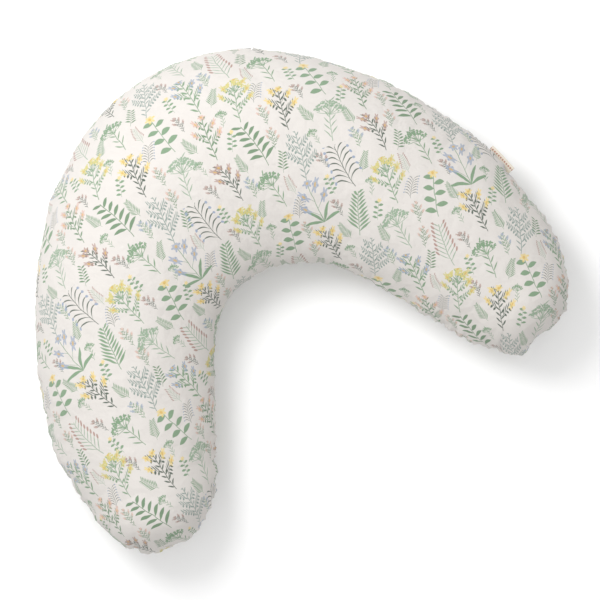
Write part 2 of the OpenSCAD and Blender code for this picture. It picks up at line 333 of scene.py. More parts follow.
def refined(coarse, rows, cols):
    """A coarse grid's vectors at the places of a finer grid, smoothed to its spacing."""
    was, now = row_marks(SIM_ROWS), row_marks(rows)
    pos = np.interp(now, was, np.arange(len(was)))
    i = np.clip(np.floor(pos).astype(int), 0, len(was) - 2)
    f = (pos - i)[:, None, None]
    f = f * f * (3 - 2 * f) * 0.5 + f * 0.5
    out = coarse[i] * (1 - f) + coarse[i + 1] * f
    pos = np.linspace(0, coarse.shape[1] - 1, cols + 1)
    j = np.clip(np.floor(pos).astype(int), 0, coarse.shape[1] - 2)
    f = (pos - j)[None, :, None]
    out = out[:, j] * (1 - f) + out[:, j + 1] * f
    for _ in range(2):
        out[1:-1] = (out[:-2] + 2 * out[1:-1] + out[2:]) / 4
        out[:, 1:-1] = (out[:, :-2] + 2 * out[:, 1:-1] + out[:, 2:]) / 4
    return out


FULLNESS_MOVES = gathered_fullness()
SIM_GAIN = 1.5


# ---------------------------------------------------------------------------
# Finer gathers, pleats and folds, and the outline as use has left it
# ---------------------------------------------------------------------------
def along_seam(least, most, deep, reach):
    """Stretches one after another: where each ends, its depth in mm, how far in it shows, and its lean."""
    ends = [0.0]
    while ends[-1] < LOOP_LEN:
        ends.append(ends[-1] + RNG.uniform(least, most))
    n = len(ends) - 1
    depths, reaches = deep * RNG.uniform(0.35, 1.25, n), reach * RNG.uniform(0.6, 1.4, n)
    return np.array(ends), depths, reaches, RNG.uniform(-0.3, 0.3, n)


def in_stretches(stretches, s, e):
    """For points at seam place s, distance e: how far along its stretch, and that one's depth and fading."""
    ends, depths, reaches, leans = stretches
    first = np.clip(np.searchsorted(ends, s, "right") - 1, 0, len(ends) - 2)
    s = (s - leans[first] * e) % LOOP_LEN
    k = np.clip(np.searchsorted(ends, s, "right") - 1, 0, len(ends) - 2)
    return (s - ends[k]) / (ends[k + 1] - ends[k]), depths[k], np.exp(-e / reaches[k])


GATHERS = along_seam(11, 27, 2.8, 17)
PLEATS = along_seam(5, 11, 0.8, 8)
CORNERS = along_seam(34, 58, 3.0, 34)
FOLDS = along_seam(26, 64, 2.6, 42)
TIP_GATHER, SIDE_GATHER, BACK_GATHER = 2.2, 1.1, 0.55
WAVES = [
    (RNG.uniform(0.025, 0.07) * turn(RNG.uniform(0, 360)), RNG.uniform(0, 6.3), RNG.uniform(0.3, 0.8))
    for _ in range(14)
]
WAVES_GAIN, WAVES_FROM = 0.5, 30.0
GROOVE, GROOVE_HALF = 1.3, 2.4  # the seam's own groove, in mm
DEEPEST_GATHER, MOST_INWARDS = 3.2, 3.0  # mm, so that the inner case never shows
FLOOR_REACH = 25.0

# Where use has pushed the outline out, or in: place along the seam clockwise from the back's middle, reach,
# and how far, all in mm. Most places and amounts come from a scratch script, which compared the plain
# outline with points read off the photograph. They were then adjusted.
SETTLED = (
    (269, 30, -2.5), (475, 45, 4), (603, 34, 5), (708, 12, 2.5), (765, 11, -9), (798, 15, 9), (1056, 34, 3),
    (1112, 34, 4.5), (1223, 22, -4), (1499, 22, -3.5), (1600, 14, 3), (1669, 34, -4.5), (1787, 38, 5),
    (1950, 50, -4), (2116, 30, 4.5),
)
LOOP_RUN = np.roll(LOOP, -1, axis=0) - np.roll(LOOP, 1, axis=0)
LOOP_OUT = np.stack([-LOOP_RUN[:, 1], LOOP_RUN[:, 0]], 1) / np.linalg.norm(LOOP_RUN, axis=1, keepdims=True)


def settled(s, e):
    """How far the worn outline moves points at seam place s and distance e, outwards in plan, in mm."""
    move = np.zeros((len(s), 2))
    out = LOOP_OUT[np.round(s / LOOP_LEN * len(LOOP)).astype(int) % len(LOOP)]
    for at, reach, far in SETTLED:
        off = (s - at + LOOP_LEN / 2) % LOOP_LEN - LOOP_LEN / 2
        move += out * (far * np.exp(-(off / reach) ** 2) * np.exp(-(e / (22 + reach)) ** 2))[:, None]
    return move


def soften(grid, upper):
    """Adds the gathers and groove at the seam, the filling's gentle lumps and the worn outline."""
    n = grid_normals(grid, upper)
    flat = grid.reshape(-1, 3)
    s, e = from_seam(flat)
    tip = np.clip((SHIFT[1] + TIP_C[1] + 70 - flat[:, 1]) / 90, 0, 1)
    back = np.clip((flat[:, 1] - 60) / 120, 0, 1)
    share = SIDE_GATHER + (TIP_GATHER - SIDE_GATHER) * tip + (BACK_GATHER - SIDE_GATHER) * back
    f, deep, fading = in_stretches(GATHERS, s, e)
    move = share * deep * (np.sin(np.pi * f) ** 0.75 - 0.45) * fading
    f, deep, fading = in_stretches(PLEATS, s, e)
    move += share * deep * np.sin(2 * np.pi * f) * fading
    f, deep, fading = in_stretches(FOLDS, s, e)
    move += share * deep * (np.sin(np.pi * f) - 0.6) * fading * np.clip(e / 12, 0, 1)
    f, deep, fading = in_stretches(CORNERS, s, e)
    move -= tip * deep * (4 * f * (1 - f) - 0.3) * fading
    move -= GROOVE * np.exp(-(e / GROOVE_HALF) ** 2)
    lumps = sum(high * np.sin(flat[:, :2] @ along + phase) for along, phase, high in WAVES)
    move += lumps * (1 - np.exp(-e / WAVES_FROM)) * WAVES_GAIN
    if not upper:
        move *= np.clip(flat[:, 2] / FLOOR_REACH, 0, 1)
    moved = flat + n.reshape(-1, 3) * np.maximum(move, -DEEPEST_GATHER)[:, None]
    moved[:, :2] += settled(s, e)
    moved = moved.reshape(grid.shape)
    if FULLNESS_MOVES is not None:
        moved = moved + SIM_GAIN * refined(FULLNESS_MOVES[0 if upper else 1], FINE, COLS)
    inwards = np.minimum(((moved - grid) * n).sum(2, keepdims=True), 0)
    moved = moved + n * (MOST_INWARDS * np.tanh(inwards / MOST_INWARDS) - inwards)
    moved[..., 2] = np.maximum(moved[..., 2], 0)
    return moved


# ---------------------------------------------------------------------------
# The cover panels, and where the print lies on their cloth
# ---------------------------------------------------------------------------
LOWER_CUT = np.array([0.071, 0.043])  # the lower panel is cut from another place in the print
GRAIN_LEAN, ARM_LEAN, LEAN_REACH = 3, 15, 260  # degrees, and mm along the pillow


def rotated(v, angle):
    """Plan vectors turned by an angle each."""
    c, s = np.cos(angle), np.sin(angle)
    return np.stack([v[:, 0] * c - v[:, 1] * s, v[:, 0] * s + v[:, 1] * c], 1)


def print_uv(grid):
    """Cloth coordinates in metres: each section laid flat, the arms' grain leaning outwards."""
    m = grid.shape[1] // 2
    mid = grid[:, m, :2]
    flat_steps = np.linalg.norm(np.diff(mid, axis=0), axis=1)
    cloth_steps = np.linalg.norm(np.diff(grid[:, m], axis=0), axis=1)
    x = np.concatenate([[0], np.cumsum(cloth_steps)])
    x = x - x[len(x) // 2]
    lean = np.radians(GRAIN_LEAN + ARM_LEAN * np.tanh(x / LEAN_REACH))
    step = rotated(np.diff(mid, axis=0), (lean[1:] + lean[:-1]) / 2) * (cloth_steps / flat_steps)[:, None]
    path = np.vstack([[0, 0], np.cumsum(step, axis=0)])
    path = path - path[len(path) // 2] + mid[len(mid) // 2]
    out = grid[:, 0, :2] - grid[:, -1, :2]
    size = np.linalg.norm(out, axis=1, keepdims=True)
    out = np.where(size > 1e-6, out / np.maximum(size, 1e-6), 0)
    out[0], out[-1] = out[1], out[-2]
    seg = np.linalg.norm(np.diff(grid, axis=1), axis=2)
    along = np.concatenate([np.zeros((len(grid), 1)), np.cumsum(seg, axis=1)], 1)
    along = along[:, m:m + 1] - along
    return (path[:, None] + rotated(out, lean)[:, None] * along[..., None]) * MM


def panel(name, node, upper):
    """A cover panel as cloth of real thickness, in place of its CAD node."""
    grid = skin_grid(FINE, COLS, upper, True)
    uv = print_uv(grid)
    if not upper:
        uv = uv * [-1, 1] + LOWER_CUT
    obj = grid_mesh(name, soften(grid, upper), uv)
    if (sum(p.normal.z * p.area for p in obj.data.polygons) > 0) != upper:
        obj.data.flip_normals()
    mod = obj.modifiers.new("thickness", "SOLIDIFY")
    mod.thickness = COVER_T * MM
    mod.offset = -1
    bpy.context.view_layer.objects.active = obj
    bpy.ops.object.modifier_apply(modifier=mod.name)
    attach(obj, "pillow")
    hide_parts(node)
    return obj


# ---------------------------------------------------------------------------
# Arithmetic on shader sockets
# ---------------------------------------------------------------------------
def operator(kind):
    """A method that runs one Math operation."""
    return lambda self, *others: self.op(kind, *others)


class Num:
    """A shader socket that holds a number, with the usual operators."""

    def __init__(self, tree, socket):
        self.tree, self.socket = tree, socket

    def op(self, kind, *others, clamp=False):
        node = self.tree.nodes.new("ShaderNodeMath")
        node.operation, node.use_clamp = kind, clamp
        for socket, value in zip(node.inputs, (self, *others)):
            if isinstance(value, Num):
                self.tree.links.new(value.socket, socket)
            else:
                socket.default_value = value
        return Num(self.tree, node.outputs[0])

    __add__ = __radd__ = operator("ADD")
    __sub__ = operator("SUBTRACT")
    __mul__ = __rmul__ = operator("MULTIPLY")
    __truediv__ = operator("DIVIDE")
    __abs__ = operator("ABSOLUTE")
    __lt__, __gt__ = operator("LESS_THAN"), operator("GREATER_THAN")
    floor, fract, root = operator("FLOOR"), operator("FRACT"), operator("SQRT")
    cos, sin = operator("COSINE"), operator("SINE")
    least, most = operator("MINIMUM"), operator("MAXIMUM")
    bearing = operator("ARCTAN2")

    def __rsub__(self, other):
        return self.op("MULTIPLY_ADD", -1, other)

    def inked(self, soft=0.35):
        """1 where the number is over 0, with a soft edge."""
        return self.op("MULTIPLY_ADD", 1 / soft, 0.5, clamp=True)


def length(x, y):
    return (x * x + y * y).root()


def ripple(value, pitch):
    """A wave from -1 to 1 along a number."""
    return (value * (2 * math.pi / pitch)).sin()


def apart(tree, vector):
    """The three numbers of a vector socket."""
    node = tree.nodes.new("ShaderNodeSeparateXYZ")
    tree.links.new(vector, node.inputs[0])
    return [Num(tree, s) for s in node.outputs]


def texture(tree, kind, vector, **constants):
    """A texture node over a vector socket."""
    node = tree.nodes.new("ShaderNodeTex" + kind)
    tree.links.new(vector, node.inputs["Vector"])
    for key, value in constants.items():
        node.inputs[key].default_value = value
    return node


def table(index, rows):
    """The row for an index, from a stepped ramp: as four numbers, and as a colour socket."""
    tree = index.tree
    node = tree.nodes.new("ShaderNodeValToRGB")
    ramp = node.color_ramp
    ramp.interpolation = "CONSTANT"
    ramp.elements.remove(ramp.elements[1])
    for i, row in enumerate(rows):
        element = ramp.elements.new(i / len(rows)) if i else ramp.elements[0]
        element.position = i / len(rows)
        element.color = row
    tree.links.new(((index + 0.5) / len(rows)).socket, node.inputs[0])
    split = tree.nodes.new("ShaderNodeSeparateColor")
    tree.links.new(node.outputs[0], split.inputs[0])
    return [Num(tree, s) for s in split.outputs] + [Num(tree, node.outputs[1])], node.outputs[0]


def blend(tree, amount, below, above):
    """Colour above over colour below, each a socket or three numbers."""
    node = tree.nodes.new("ShaderNodeMix")
    node.data_type = "RGBA"
    tree.links.new(amount.socket, node.inputs["Factor"])
    colours = [s for s in node.inputs if s.type == "RGBA"]
    for socket, value in zip(colours, (below, above)):
        if isinstance(value, tuple):
            socket.default_value = (*value, 1)
        else:
            tree.links.new(value, socket)
    return [s for s in node.outputs if s.type == "RGBA"][0]


def fresh(name, colour, roughness, **constants):
    """A new material, its tree and its shader; Coat_Weight=0.2 sets the socket "Coat Weight"."""
    mat = bpy.data.materials.new(name)
    mat.use_nodes = True
    shader = mat.node_tree.nodes["Principled BSDF"]
    shader.inputs["Base Color"].default_value = (*colour, 1)
    shader.inputs["Roughness"].default_value = roughness
    for key, value in constants.items():
        shader.inputs[key.replace("_", " ")].default_value = value
    return mat, mat.node_tree, shader


def bump(tree, shader, height, distance):
    node = tree.nodes.new("ShaderNodeBump")
    node.inputs["Distance"].default_value = distance
    tree.links.new(height.socket, node.inputs["Height"])
    tree.links.new(node.outputs[0], shader.inputs["Normal"])


# ---------------------------------------------------------------------------
# The meadow print: sprigs drawn by arithmetic, one to a cell of the repeat
# ---------------------------------------------------------------------------
INK_DEPTH = 0.80


def ink(r, g, b):
    """An sRGB colour as the linear numbers of an ink on cloth."""
    shares = [c / 255 for c in (r, g, b)]
    return tuple(INK_DEPTH * (c / 12.92 if c <= 0.04045 else ((c + 0.055) / 1.055) ** 2.4) for c in shares)


SAGE, GREEN, FERN = ink(158, 182, 156), ink(134, 166, 132), ink(118, 150, 116)
SLATE, MIST = ink(82, 98, 84), ink(148, 166, 158)
YELLOW, GOLD, BLUE = ink(246, 220, 138), ink(230, 186, 92), ink(162, 176, 198)
BLUSH, HEATHER, LIME = ink(228, 190, 176), ink(188, 156, 146), ink(222, 212, 136)
COTTON = (0.670, 0.637, 0.605)
# What a sprig's numbers mean, four to a group and in mm, and the largest that the tables hold.
FULL = {
    "height": 60, "bend": 20, "reach": 20, "half": 4,
    "gap": 60, "slope": 2, "droop": 0.2, "taper": 1,
    "branch": 24, "branch_reach": 24, "flower": 8, "head": 20,
    "strap": 30, "first": 10, "berry": 3, "leaflet": 8,
}
# Each sprig's four groups, then its leaf ink and its flower ink.
SPRIGS = {
    "fern": ((52, 5, 15, 1.45), (5.0, 0.9, 0.0, 0.6), (0, 0, 0, 0), (0, 4, 0, 0), GREEN, SAGE),
    "willow": ((54, -6, 17, 1.9), (8.0, 0.7, 0.02, 0.45), (0, 0, 0, 0), (0, 6, 0, 0), FERN, SAGE),
    "daisy": ((50, 3, 14, 2.7), (12.5, 0.4, 0.02, 0.2), (0, 0, 6.2, 0), (0, 3, 0, 0), GREEN, YELLOW),
    "umbel": ((46, -7, 8, 1.0), (9.0, 1.1, 0.0, 0.5), (0, 0, 0, 17), (0, 2, 0, 0), GREEN, GREEN),
    "parasol": ((50, 6, 8, 0.9), (8.0, 1.2, 0.0, 0.4), (0, 0, 0, 19), (0, 2, 0, 0), SAGE, SAGE),
    "broom": ((50, 4, 6, 1.1), (7.0, 1.0, 0.0, 0.4), (16, 19, 4.8, 0), (0, 2, 0, 5.0), SLATE, YELLOW),
    "thistle": ((46, -7, 6, 1.0), (7.0, 1.1, 0.0, 0.3), (15, 15, 4.6, 0), (0, 2, 0, 3.4), SLATE, HEATHER),
    "grass": ((50, 7, 17, 0.75), (7.0, 1.6, 0.065, 0.3), (0, 0, 0, 0), (0, 2, 1.6, 0), SLATE, BLUE),
    "speedwell": ((54, -4, 8, 1.4), (9.0, 0.9, 0.0, 0.3), (16, 18, 4.8, 0), (0, 2, 0, 4.8), GREEN, BLUE),
    "mallow": ((52, 5, 6, 1.2), (8.0, 0.9, 0.0, 0.3), (15, 18, 4.4, 0), (0, 2, 0, 4.4), FERN, BLUSH),
    "scabious": ((50, 3, 0, 0.5), (50.0, 1.5, 0.0, 0.3), (18, 17, 6.4, 0), (27, 2, 0, 0), GREEN, BLUE),
    "mist": ((57, -4, 6, 0.8), (6.5, 0.9, 0.0, 0.4), (12, 21, 0, 0), (0, 2, 0, 4.2), MIST, MIST),
    "meadowsweet": ((54, 4, 6, 1.0), (9.0, 0.9, 0.0, 0.3), (13, 20, 4.8, 16), (0, 2, 0, 3.4), GREEN, LIME),
    "berry": ((50, 6, 12, 0.6), (5.6, 1.0, 0.0, 0.5), (0, 0, 0, 0), (0, 4, 1.8, 0), SAGE, HEATHER),
}
# The repeats, row by row: sprig, tilt in degrees, and its place from the cell's middle in mm.
TILT_MOST, PLACE_MOST = 30, 10
REPEAT = [
    ("meadowsweet", 4, 0, 0), ("daisy", -8, 2, 1), ("scabious", 6, -1, 0), ("fern", -14, 0, 2),
    ("thistle", 12, 1, 0), ("umbel", 16, 1, 2), ("mist", -6, 0, 0), ("grass", 10, 0, 1),
    ("mallow", -4, 1, 0), ("willow", 14, 0, 0), ("broom", -6, 0, 0), ("parasol", -14, 2, 0),
    ("speedwell", 8, 0, 0), ("meadowsweet", -12, 1, 1), ("umbel", 12, -2, 2), ("daisy", 10, 1, 0),
    ("parasol", 14, -1, 1), ("berry", 8, 0, 0), ("broom", 12, 1, 0), ("mist", -12, 0, 0),
]
FILLERS = [
    ("fern", 24, 0, 0), ("daisy", -20, 1, 0), ("mallow", 0, 0, 0),
    ("thistle", 12, 0, 1), ("umbel", -10, 0, 0), ("grass", -24, 0, 0),
    ("daisy", 6, 0, 0), ("fern", -26, 0, 0), ("berry", 8, 0, 0),
    ("thistle", 22, 0, 0), ("speedwell", 4, 0, 0), ("willow", -18, 0, 0),
    ("umbel", 18, 0, 1), ("fern", 14, 0, 0), ("mallow", -8, 0, 0),
]
COLUMNS, ROWS = 4, 5
FILLER_COLUMNS, FILLER_ROWS = 3, 5
CELL_W, CELL_H = 49.0, 64.0
SPRIG_SCALE, FILLER_SCALE = 1.13, 0.5
LEAF_WIDTH = 0.84
WEAVE_PITCH = 0.6
AWAY = 99  # mm, further than any sprig reaches
STEM_HALF = 0.38
BRANCH = {"slope": 1.15, "droop": 0.012, "taper": 0.6, "half": 0.3, "first": 8.0}
LEAFLET = {"gap": 4.2, "slope": 0.9, "droop": 0.0, "taper": 0.3, "half": 1.05, "first": 2.5}
LEAFLETS_ACROSS, LEAFLETS_ALONG = 0.68, 1.45  # a branch's own scales, which make its leaflets long and close
BRANCHES_TO = 0.84  # of the height
SPOKES, SPOKES_REACH = 2.6, 0.75  # an umbel's spokes per radian, and their share of its radius
UMBEL_HALF = 1.4  # radians
CAP_FROM = 0.48


def looked_up(index, order):
    """The sprig for each cell index: its numbers by name, tilt, place, leaf colour and flower colour."""
    values = {}
    for group in range(4):
        names = list(FULL)[4 * group:4 * group + 4]
        numbers, _ = table(index, [
            [(v / FULL[n] + 1) / 2 for v, n in zip(SPRIGS[o[0]][group], names)] for o in order])
        for n, number in zip(names, numbers):
            values[n] = (number * 2 - 1) * FULL[n]
    colours = [table(index, [(*SPRIGS[o[0]][k], 1) for o in order])[1] for k in (4, 5)]
    most = (TILT_MOST, PLACE_MOST, PLACE_MOST)
    numbers, _ = table(index, [[*((v / m + 1) / 2 for v, m in zip(o[1:], most)), 1] for o in order])
    tilt, dx, dy = [number * (2 * m) - m for number, m in zip(numbers, most)]
    return values, tilt * (math.pi / 180), dx, dy, *colours


def comb(x, h, last, reach, gap, slope, droop, taper, half, first):
    """Leaves in a comb up both sides of a stem, at places x and h: their ink, distance from the stem and
    from the leaf's own line, the length of the leaf there, and whether there is one."""
    ax = abs(x)
    right = (x > 0) * gap * 0.5
    rooted = h - ax * slope + ax * ax * droop - right
    middle = ((rooted / gap).floor() + 0.5) * gap
    off = rooted - middle
    at = middle + right
    tip = (1 - at / last * taper) * reach
    t = ax / tip.most(0.01)
    lens = (t * 4 * (1 - t)) * half * LEAF_WIDTH
    there = (at > first) * (at < last)
    return (lens.most(0.22) - abs(off) * 0.75).inked() * (t < 1) * there, ax, off, tip, there


def flower_ink(v, x, y, r):
    """A round flower with lined petals, and its heart, round a place at x and y and a distance r."""
    round_it = y.bearing(x)
    is_one = v["flower"] > 0.5
    size = v["flower"] * (0.8 + 0.2 * (round_it * 6).cos())
    lines = 0.75 + 0.25 * (round_it * 12).cos()
    return (size - r).inked() * is_one * lines, (v["flower"] * 0.27 - r).inked() * is_one


def umbel_ink(v, x, h):
    """An umbel at the top of the stem: its spokes, and its crown of small round flowers."""
    y = h - (v["height"] - v["head"])
    r, bearing = length(x, y), x.bearing(y)
    is_one = (abs(bearing) < UMBEL_HALF) * (v["head"] > 1)
    across = abs((bearing * SPOKES).fract() - 0.5) * r * (1 / SPOKES)
    spokes = (0.3 - across).inked() * (r < v["head"] * SPOKES_REACH)
    spot = x.tree.nodes.new("ShaderNodeCombineXYZ")
    x.tree.links.new(x.socket, spot.inputs[0])
    x.tree.links.new(h.socket, spot.inputs[1])
    lumps = texture(x.tree, "Voronoi", spot.outputs[0], Scale=1 / 2.3, Randomness=0.8)
    cap = (v["head"] - r).least(r - v["head"] * CAP_FROM).least((1.32 - abs(bearing)) * r)
    crown = (cap.least(1.3) - Num(x.tree, lumps.outputs["Distance"]) * 3.6 + 1.0).inked(0.5)
    return spokes * is_one, crown * is_one


def strap_ink(v, x, h):
    """Strap leaves from the foot of the stem, an upright and a low one on each side."""
    r, bearing = length(x, h), abs(x).bearing(h)
    share = r / v["strap"].most(0.1)
    wide = share * (1 - share) * 7.5
    upright = (wide - abs(bearing - 0.42 - r * 0.008) * r).inked()
    low = (wide - abs(bearing - 1.05 - r * 0.012) * r).inked()
    return upright.most(low) * (v["strap"] > 1) * (share < 1)


def sprig(x, y, index, order):
    """A plant in each cell: amounts of leaf ink, flower ink and heart ink, and the two inks' colours."""
    v, tilt, dx, dy, leaf_colour, flower_colour = looked_up(index, order)
    x, y = x - dx, y - dy
    c, s = tilt.cos(), tilt.sin()
    x, y = x * c + y * s, y * c - x * s
    h = y + v["height"] * 0.5
    up = h / v["height"]
    x = x - v["bend"] * (up * up - up)
    stem = (STEM_HALF - abs(x)).inked() * (h > 0) * (h < v["height"])
    leaves, ax, off, tip, there = comb(x, h, v["height"], v["reach"].most(0.02), **{
        key: v[key] for key in ("gap", "slope", "droop", "taper", "half", "first")})
    berry = (v["berry"] - length(ax - tip, off)).inked() * there * (v["berry"] > 0.2)
    # Side branches, each with its own leaflets and a flower at its end.
    line, along, across, end, there = comb(
        x, h, v["height"] * BRANCHES_TO, v["branch_reach"].most(0.02), gap=v["branch"].most(0.5), **BRANCH)
    branched = v["branch_reach"] > 1
    leaflets = comb(across * LEAFLETS_ACROSS, along * LEAFLETS_ALONG, end.most(0.1) * LEAFLETS_ALONG,
                    v["leaflet"].most(0.02), **LEAFLET)[0]
    green = stem.most(leaves * (v["reach"] > 1)).most(line * branched)
    green = green.most(leaflets * branched * there * (along < end))
    # The flower goes to the nearer of the top of the stem and the branch's end.
    top_y, end_x = h - v["height"], along - end
    to_top = length(x, top_y)
    to_end = length(end_x, across) + (1 - branched * there) * AWAY
    nearer = to_top < to_end
    fx, fy = end_x + (x - end_x) * nearer, across + (top_y - across) * nearer
    flower, heart = flower_ink(v, fx, fy, to_top.least(to_end))
    spokes, crown = umbel_ink(v, x, h)
    green = green.most(spokes).most(strap_ink(v, x, h))
    return green, flower.most(crown).most(berry), heart, leaf_colour, flower_colour


def cell_of(x, y, width, height, columns, rows):
    """The place in a staggered grid's cell, in mm from its middle, and the cell's index in the repeat."""
    column = (x / width).floor()
    y = y + (column / 2).fract() * height
    row = (y / height).floor()
    index = (column / columns).fract() * columns + (row / rows).fract() * (rows * columns)
    return x - (column + 0.5) * width, y - (row + 0.5) * height, (index + 0.5).floor()


def meadow_cloth(name):
    """Off-white cotton with the meadow print."""
    mat, tree, shader = fresh(name, COTTON, 0.88, Sheen_Weight=0.12, Sheen_Roughness=0.5)
    uv = tree.nodes.new("ShaderNodeUVMap")
    uv.uv_map = "print"
    scale = tree.nodes.new("ShaderNodeVectorMath")
    scale.operation = "SCALE"
    scale.inputs["Scale"].default_value = 1 / MM
    tree.links.new(uv.outputs[0], scale.inputs[0])
    cloth = scale.outputs[0]
    # The print's lines waver a little.
    shift = tree.nodes.new("ShaderNodeVectorMath")
    shift.operation = "MULTIPLY_ADD"
    shift.inputs[1].default_value = (3.4, 3.4, 0)
    tree.links.new(texture(tree, "Noise", cloth, Scale=0.07, Detail=1.5).outputs["Color"], shift.inputs[0])
    tree.links.new(cloth, shift.inputs[2])
    x, y, _ = apart(tree, shift.outputs[0])
    cx, cy, index = cell_of(x, y, CELL_W, CELL_H, COLUMNS, ROWS)
    green, flower, heart, leaf_colour, flower_colour = sprig(
        cx / SPRIG_SCALE, cy / SPRIG_SCALE, index, REPEAT)
    cx, cy, index = cell_of(x + CELL_W / 2, y + CELL_H / 4, CELL_W, CELL_H / 2, FILLER_COLUMNS, FILLER_ROWS)
    small_green, small_flower, _, small_leaf_colour, small_flower_colour = sprig(
        cx / FILLER_SCALE, cy / FILLER_SCALE, index, FILLERS)
    patchy = Num(tree, texture(tree, "Noise", cloth, Scale=0.9).outputs["Fac"])
    strength = patchy * 0.5 + 0.72  # of the ink, which covers the cloth unevenly
    colour = COTTON
    for amount, over in ((small_green, small_leaf_colour), (small_flower, small_flower_colour),
                         (green, leaf_colour), (flower, flower_colour)):
        colour = blend(tree, (amount * strength).least(0.95), colour, over)
    tree.links.new(blend(tree, heart * 0.7, colour, GOLD), shader.inputs["Base Color"])
    tree.links.new((patchy * 0.12 + 0.82).socket, shader.inputs["Roughness"])
    warp, weft, _ = apart(tree, cloth)
    crumple = Num(tree, texture(tree, "Noise", cloth, Scale=0.055, Detail=3.0).outputs["Fac"])
    bump(tree, shader, ripple(warp, WEAVE_PITCH) * ripple(weft, WEAVE_PITCH) * 0.025 + crumple, 0.0028)
    return mat


# ---------------------------------------------------------------------------
# The plainer materials
# ---------------------------------------------------------------------------
def place_mm(tree):
    """Object coordinates in millimetres, as three numbers."""
    coords = tree.nodes.new("ShaderNodeTexCoord")
    return [number * 1000 for number in apart(tree, coords.outputs["Object"])]


def noise(tree, scale, detail=2.0):
    """Noise from 0 to 1 over object coordinates in metres."""
    coords = tree.nodes.new("ShaderNodeTexCoord")
    node = texture(tree, "Noise", coords.outputs["Object"], Scale=scale, Detail=detail)
    return Num(tree, node.outputs["Fac"])


def share(wave):
    """A wave from -1 to 1 as a share from 0 to 1."""
    return wave * 0.5 + 0.5


def tint(tree, shader, factor, low, high):
    tree.links.new(blend(tree, factor, low, high), shader.inputs["Base Color"])


def tape_material():
    """Ribbed tape, its ribs counted round the back's arc."""
    mat, tree, shader = fresh("zip_tape_weave", (0.7, 0.69, 0.66), 0.8)
    x, y, z = place_mm(tree)
    ribs = share(ripple(x.bearing(y - float(ZIP_C[1])) * BACK_R, 0.9))
    wales = share(((z - SEAM_Z) * (2 * math.pi / 1.3) + ribs * 2.2).sin())
    tint(tree, shader, ribs * wales * 0.6 + noise(tree, 900) * 0.4, (0.52, 0.51, 0.48), (0.76, 0.75, 0.72))
    bump(tree, shader, ribs * 0.6 + wales * 0.4, 0.00018)
    return mat


def coil_material():
    mat, tree, shader = fresh("zip_nylon", (0.78, 0.77, 0.74), 0.32, Coat_Weight=0.2, IOR=1.53)
    tint(tree, shader, noise(tree, 1500), (0.66, 0.65, 0.62), (0.82, 0.81, 0.78))
    return mat


def metal_material():
    """Nickel with brushed lines, a little worn."""
    mat, tree, shader = fresh("brushed_nickel", (0.62, 0.6, 0.57), 0.3, Metallic=1.0)
    _, _, z = place_mm(tree)
    lines = share((z * 30 + noise(tree, 700) * 8).sin())
    wear = noise(tree, 180, 4)
    tint(tree, shader, wear, (0.5, 0.49, 0.47), (0.72, 0.7, 0.67))
    tree.links.new((lines * 0.12 + wear * 0.16 + 0.18).socket, shader.inputs["Roughness"])
    bump(tree, shader, lines, 0.00002)
    return mat


def ribbon_material():
    """Cream ribbon with a plain row of woven dashes along each face."""
    mat, tree, shader = fresh("cream_ribbon", (0.78, 0.74, 0.66), 0.6, Sheen_Weight=0.25)
    x, y, _ = place_mm(tree)
    dx, dy = x - float(SIDE_ROOT[0]), y - float(SIDE_ROOT[1])
    out = length(dx, dy) - SIDE_R
    along = dy.bearing(dx) * SIDE_R
    ribs, weave = share(ripple(along, 0.55)), share(ripple(out, 0.5))
    dashes = ((along / 3.6).fract() < 0.6) * (abs(out - LABEL_OUT * 0.64) < 1.1)
    cloth = blend(tree, ribs * weave, (0.66, 0.60, 0.50), (0.82, 0.78, 0.70))
    tint(tree, shader, dashes * 0.85, cloth, ink(176, 98, 70))
    bump(tree, shader, ribs * 0.5 + weave * 0.5, 0.00012)
    return mat


def thread_material():
    mat, tree, shader = fresh("cotton_thread", (0.72, 0.71, 0.68), 0.75, Sheen_Weight=0.2)
    twist = (noise(tree, 2600) * 3).fract()
    tint(tree, shader, twist, (0.6, 0.59, 0.56), (0.8, 0.79, 0.76))
    bump(tree, shader, twist, 0.00008)
    return mat


def plain_cotton(name, low, high, pitch=0.7):
    """Unprinted cloth between two tones, its threads at a pitch in mm."""
    mat, tree, shader = fresh(name, low, 0.9, Sheen_Weight=0.15)
    x, y, z = place_mm(tree)
    weave = share(ripple(x + z, pitch) * ripple(y - z, pitch))
    tint(tree, shader, weave * 0.6 + noise(tree, 25, 4) * 0.4, low, high)
    bump(tree, shader, weave, 0.0001)
    return mat


def fibre_material():
    mat, tree, shader = fresh("polyester_fibre", (0.82, 0.82, 0.8), 0.95, Sheen_Weight=0.3)
    tufts = noise(tree, 120, 8)
    tint(tree, shader, tufts, (0.68, 0.68, 0.66), (0.9, 0.9, 0.88))
    bump(tree, shader, tufts, 0.002)
    return mat


def dress(material, *names):
    """Puts a material in every slot of the named objects."""
    for name in names:
        materials = bpy.data.objects[name].data.materials
        if not materials:
            materials.append(material)
        for i in range(len(materials)):
            materials[i] = material


# ---------------------------------------------------------------------------
# Small pieces of thread and ribbon
# ---------------------------------------------------------------------------
LABEL_ANGLE = 13.5  # degrees round the side's centre
LABEL_L, LABEL_OUT, LABEL_IN = 40.0, 11.0, 3.0
LABEL_T, LABEL_GAP, LABEL_SWELL, LABEL_WAVE = 0.42, 0.16, 0.35, 0.5
FOLD_R = 0.7
LABEL_COLS = 41
COIL_R, COIL_PITCH, WIRE_R = 264.15, 1.5, 0.27
COIL_OFF_SEAM, LOOP_HIGH, LOOP_DEEP = 1.72, 1.3, 0.66  # a loop's middle, and its two half-widths
STITCH_L, STITCH_GAP, STITCH_R = 3.0, 1.1, 0.28
STITCH_OFF_SLIT = 4.2
# A stitch's line: share of its length, lift in mm.
STITCH_LINE = ((-0.5, -0.2), (-0.3, 0.12), (0, 0.2), (0.3, 0.12), (0.5, -0.2))


